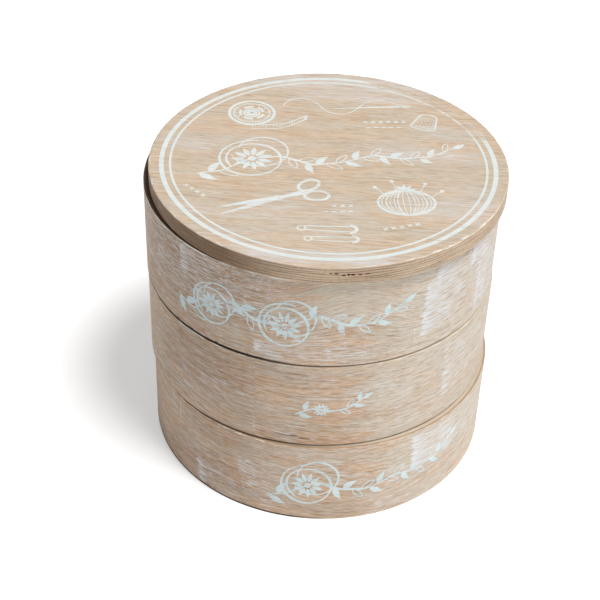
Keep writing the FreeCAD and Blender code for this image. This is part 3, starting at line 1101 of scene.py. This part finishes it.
def scissors():
    d = Drawing()
    for side in (1, -1):
        d.taper(path((0, 0), 90 - side * 7, 32, (side, side, 2 * side)), 1.5, 1.5, 0.15)
        d.pen(path((0, 0), 270 - side * 8, 15, (side * 14, side * 6, -side * 20)), 1.4, 0.7)
        d.line(ellipse(side * 5.2, -19, 4.1, 6.2, 0, 360, side * 20), 0.85)
    d.line(ellipse(0, 0, 1.9, 1.9), 0.45)
    return d


def pincushion():
    d = Drawing()
    d.line(ellipse(0, 0, 14.5, 11), 0.7)
    for half_x, half in ((1.6, 0.24), (4.4, 0.42), (6.2, 0.24), (8.4, 0.24), (10.4, 0.42), (12.6, 0.24)):
        d.line(ellipse(0, 0, half_x, 11), half)
    for k in range(5):
        d.leaf((0, 10.4), 18 + 36 * k, 6.4, 20, 1.2)
    for x, y, lean in ((-9, 5, 122), (7, 7, 66), (11, 3, 40), (-3, 9, 104)):
        end = polar(11, radians(lean)) + (x, y)
        d.line(straight(x, y, *end), 0.26)
        d.dot(*end, 1.15)
    return d


def safety_pin():
    d = Drawing()
    d.line(straight(0, 1.9, 24, 2.2), 0.42)
    d.line(path((24, -2.0), 183, 24, (-4, -3, 2)), 0.34)
    d.line(ellipse(-1.4, 0, 2.1, 2.1), 0.45)
    d.line(ellipse(23.6, 0.1, 3.6, 3.0, -90, 90), 1.0)
    return d


def stitches(count, crossed):
    """A row of cross stitches or running stitches."""
    d = Drawing()
    for k in range(count):
        x = STITCH_STEP * k
        if crossed:
            for rise in (1.1, -1.1):
                d.line(straight(x - 1.1, -rise, x + 1.1, rise, 3), 0.34)
        else:
            d.line(straight(x - 1.4, 0, x + 1.4, 0, 3), 0.42)
    return d


def lid_drawing():
    d = Drawing()
    d.put(branch(*LID_BRANCH), 4, 5, 11)
    d.put(tape_measure(), -48, 46, 8)
    d.put(needle_and_thread(), -2, 57, 4)
    d.put(thimble(), 51, 42, -14, 1.1)
    d.put(scissors(), -24, -40, 118, 1.05)
    d.put(pincushion(), 44, -36, 8, 1.05)
    d.put(safety_pin(), -8, -66, 4)
    d.put(safety_pin(), -4, -75, 5, 0.9)
    for count, crossed, x, y, turn in STITCH_ROWS:
        d.put(stitches(count, crossed), x, y, turn)
    return d


def film_levels(strokes):
    """For each stroke a level that no other near it has, so that no two faces coincide."""
    boxes, levels = [], []
    for points, half in strokes:
        low = points.min(0) - half.max()
        high = points.max(0) + half.max()
        taken = {level for (a, b), level in zip(boxes, levels) if (a < high).all() and (low < b).all()}
        level = 0
        while level in taken:
            level += 1
        boxes.append((low, high))
        levels.append(level)
    return levels


def film(name, drawing, place, seed):
    """Thin closed strips for a drawing's strokes; place lays flat points at a height over the wood."""
    rng = random.Random(seed)
    verts, faces, worn = [], [], []
    levels = film_levels(drawing.strokes)
    for (points, half), level in zip(drawing.strokes, levels):
        way = np.gradient(points, axis=0)
        way /= np.maximum(np.hypot(*way.T), 1e-9)[:, None]
        side = np.stack([-way[:, 1], way[:, 0]], 1) * half[:, None]
        lift = FILM * (1 - 0.9 * level / (1 + max(levels)))
        section = []
        for across, height in ((-1, lift), (0, lift), (1, lift), (1, -FILM_SINK), (0, -FILM_SINK),
                               (-1, -FILM_SINK)):
            flat = (points + across * side) * MM
            section.append(place(flat[:, 0], flat[:, 1], height))
        faces += skin(len(points), len(section), len(verts), capped=True)
        verts += np.stack(section, 1).reshape(-1, 3).tolist()
        worn += [rng.uniform(0.0, 0.22)] * (len(points) * len(section))
    mesh = new_mesh(name, verts, faces)
    store(mesh, worn=worn)
    return mesh


def ring_film(top):
    """The double ring near the lid's edge, worn through at the back right but for its edges."""
    verts, faces, worn = [], [], []
    angle = np.arange(RING_COLUMNS) * 2 * pi / RING_COLUMNS
    faded = between(np.degrees(angle), 28, 72, 12.0)
    for (inner, outer), wear in zip(RINGS, (0.5, 0.9)):
        section = ((inner, 1, 0.45), (inner + RING_EDGE, 1, 0.55), (inner + 2 * RING_EDGE, 1, 1.0),
                   (outer - 2 * RING_EDGE, 1, 1.0), (outer - RING_EDGE, 1, 0.55), (outer, 1, 0.45),
                   (outer, 0, 0), (inner, 0, 0))
        faces += skin(len(section), RING_COLUMNS, len(verts) * RING_COLUMNS, round_lines=True)
        for radius, upper, share in section:
            z = np.full(RING_COLUMNS, top if upper else top - FILM - FILM_SINK)
            verts.append(np.stack([radius * MM * np.cos(angle), radius * MM * np.sin(angle), z], 1))
            worn.append(0.04 + share * faded * wear)
    mesh = new_mesh("lid_ring_print", np.concatenate(verts).tolist(), faces)
    store(mesh, worn=np.concatenate(worn))
    return mesh


def make_print():
    """All the paint on the wood: the lid's rings and drawings, and each wall's branch."""
    place, _, thickness = lid_frame()

    def on_lid(x, y, height):
        return np.stack([x, y, np.full(len(x), thickness - FILM + height)], 1)

    lid_paint = paint("lid_print_paint", lid_colour, LID_PRINT)
    for mesh in (ring_film(thickness), film("lid_print", lid_drawing(), on_lid, 4)):
        new_piece(mesh, "lid", lid_paint, place)
    for index, name in enumerate(NAMES):
        x, y, radius, low, _ = tray_frame(name)

        def on_wall(along, up, height):
            a = along / radius - pi / 2
            r = radius - FILM + height
            return np.stack([r * np.cos(a), r * np.sin(a), up], 1)

        mesh = film(name + "_print", branch(*WALL_BRANCHES[name]), on_wall, index)
        store_wood(mesh, name)
        seed = (index + 1) * 11.0
        wall_paint = paint(name + "_print_paint", lambda s: hoop_colour(s, seed), WALL_PRINT, seed)
        new_piece(mesh, BODY_OF[name], wall_paint, (x, y, low))


def round_grain(s, start):
    """A place on wood bent round the box from an angle: along the wall, up it, and outward."""
    x, y, z = s.own_place()
    a = radians(start + 180)
    ahead = s.plus(s.times(x, cos(a)), s.times(y, sin(a)))
    aside = s.minus(s.times(y, cos(a)), s.times(x, sin(a)))
    out = s.math("SQRT", s.plus(s.times(x, x), s.times(y, y)))
    return s.times(s.math("ARCTAN2", aside, ahead), tray_frame("base")[2]), z, out


def plain_wood(name, colour, dark, seed, joint=None):
    """Bare wood for the parts inside; bent wood has a joint at an angle, and the rim's look on top, with its
    painted shade towards the left.
    """
    s = new_shader(name)
    g = grain(s, s.own_place() if joint is None else round_grain(s, joint), seed)
    for figure in ("bands", "fibres"):
        colour = s.mix(s.span(g[figure], 0.35, 0.7, 0.0, 0.5), colour, dark)
    if joint is not None:
        # The rim's upward face, with painted shade towards the left
        colour = rim_top_with_shade(s, colour)
    return s.finish(colour, 0.6, s.bump(g["fibres"], 0.05 * MM, 0.5), specular=0.35)


def speckled(name, colour, cells, detail, darkest, rough, relief, metallic=0.0):
    """Metal or plastic, with faint marks in its tone, its roughness and its surface."""
    s = new_shader(name)
    mark = s.noise(s.own_place(), cells, detail=detail)
    tone = s.mix(s.span(mark, 0.3, 0.7), colour, (*(darkest * c for c in colour[:3]), 1.0))
    return s.finish(tone, s.span(mark, 0.3, 0.7, *rough), s.bump(mark, 0.02 * MM, relief), metallic)


def metal(name, colour, rough):
    return speckled(name, colour, (0.6, 0.6, 6), 3.0, 0.8, (rough, rough + 0.12), 0.4, 1.0)


def dress_cad_nodes():
    """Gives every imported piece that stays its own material."""
    low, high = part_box("base_pivot_block")
    joint = degrees(atan2(low.y + high.y, low.x + high.x))
    hoop = plain_wood("bare_hoop_plywood", srgb(206, 174, 138), srgb(160, 124, 90), 2.0, joint)
    floor = plain_wood("bare_floor_plywood", srgb(216, 186, 150), srgb(176, 140, 104), 4.0)
    block = plain_wood("beech_block", srgb(212, 176, 138), srgb(176, 134, 96), 6.0)
    brass = metal("brass", srgb(214, 176, 96), 0.25)
    steel = metal("zinc_plated_steel", srgb(190, 192, 196), 0.22)
    nylon = speckled("white_nylon", srgb(232, 230, 222), (0.8, 0.8, 0.8), 2.0, 0.9, (0.42, 0.42), 0.3)
    looks = {"ply_hoop": hoop, "floor": floor, "pivot_block": block, "pivot_sleeve": brass,
             "spacer": nylon, "brads": steel, "lid_insert": brass, "pivot_rod": steel,
             "seat_washer": steel, "lock_nut": steel, "lock_nut_ring": nylon}
    for node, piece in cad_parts.items():
        for ending, material in looks.items():
            if node.endswith(ending):
                piece.data.materials.clear()
                piece.data.materials.append(material)


def make_camera():
    data = bpy.data.cameras.new("camera")
    data.lens = CAMERA_LENS
    data.sensor_width = SENSOR_WIDTH
    data.clip_start = 0.01
    data.clip_end = 20
    camera = add_object("camera", data)
    turn = (Matrix.Rotation(radians(CAMERA_YAW), 4, "Z")
            @ Matrix.Rotation(radians(90 - CAMERA_DIP), 4, "X")
            @ Matrix.Rotation(radians(CAMERA_ROLL), 4, "Z"))
    camera.matrix_world = Matrix.Translation(CAMERA_PLACE) @ turn
    bpy.context.scene.camera = camera


def make_sun(name, azimuth, elevation, strength, spread):
    """A distant lamp as seen from the object; azimuth 0 is the right, -90 the front."""
    data = bpy.data.lights.new(name, "SUN")
    data.energy = strength
    data.angle = radians(spread)
    lamp = add_object(name, data)
    a = radians(azimuth)
    e = radians(elevation)
    towards = Vector((cos(a) * cos(e), sin(a) * cos(e), sin(e)))
    lamp.rotation_mode = "QUATERNION"
    lamp.rotation_quaternion = towards.to_track_quat("Z", "Y")


def make_world():
    """An even surround, white where the camera sees it."""
    s = Shader(bpy.data.worlds.new("studio"))
    seen = s.met_by("Is Camera Ray", "Is Transmission Ray")
    light = s.add("ShaderNodeBackground", {"Color": WHITE, "Strength": WORLD_LEVEL})
    white = s.add("ShaderNodeBackground", {"Color": WHITE, "Strength": 1.0})
    both = s.add("ShaderNodeMixShader", {0: seen, 1: light.outputs[0], 2: white.outputs[0]})
    bpy.context.scene.world = s.show(both, "World")


def make_floor():
    """A sheet of white paper that keeps the object's shadow."""
    corners = [(x * FLOOR_HALF, y * FLOOR_HALF, 0) for x, y in ((-1, -1), (1, -1), (1, 1), (-1, 1))]
    mesh = new_mesh("floor", corners, [(0, 1, 2, 3)])
    floor = add_object("studio_floor", mesh)
    s = new_shader("studio_paper")
    speck = s.noise(s.own_place(), (2, 2, 2), detail=2.0)
    seen = s.met_by("Is Camera Ray", "Is Glossy Ray", "Is Transmission Ray")
    bright = s.span(speck, 0.0, 1.0, *PAPER, smooth=False)
    shown = s.times(bright, s.span(seen, 0.0, 1.0, 1.0, FLOOR_SHARE, smooth=False))
    paper = s.add("ShaderNodeBsdfDiffuse", {"Color": shown})
    glow = s.add("ShaderNodeEmission", {"Strength": s.times(seen, FLOOR_GLOW)})
    both = s.add("ShaderNodeAddShader", {0: paper.outputs[0], 1: glow.outputs[0]})
    mesh.materials.append(s.show(both, "Material"))


def main():
    bpy.context.scene.view_settings.view_transform = "Standard"
    make_camera()
    make_world()
    for name, lamp in LAMPS.items():
        make_sun(name, *lamp)
    make_floor()
    for index, name in enumerate(NAMES):
        make_hoop(name, index + 1)
        make_seam_glue(name)
    make_lid()
    make_print()
    dress_cad_nodes()


main()
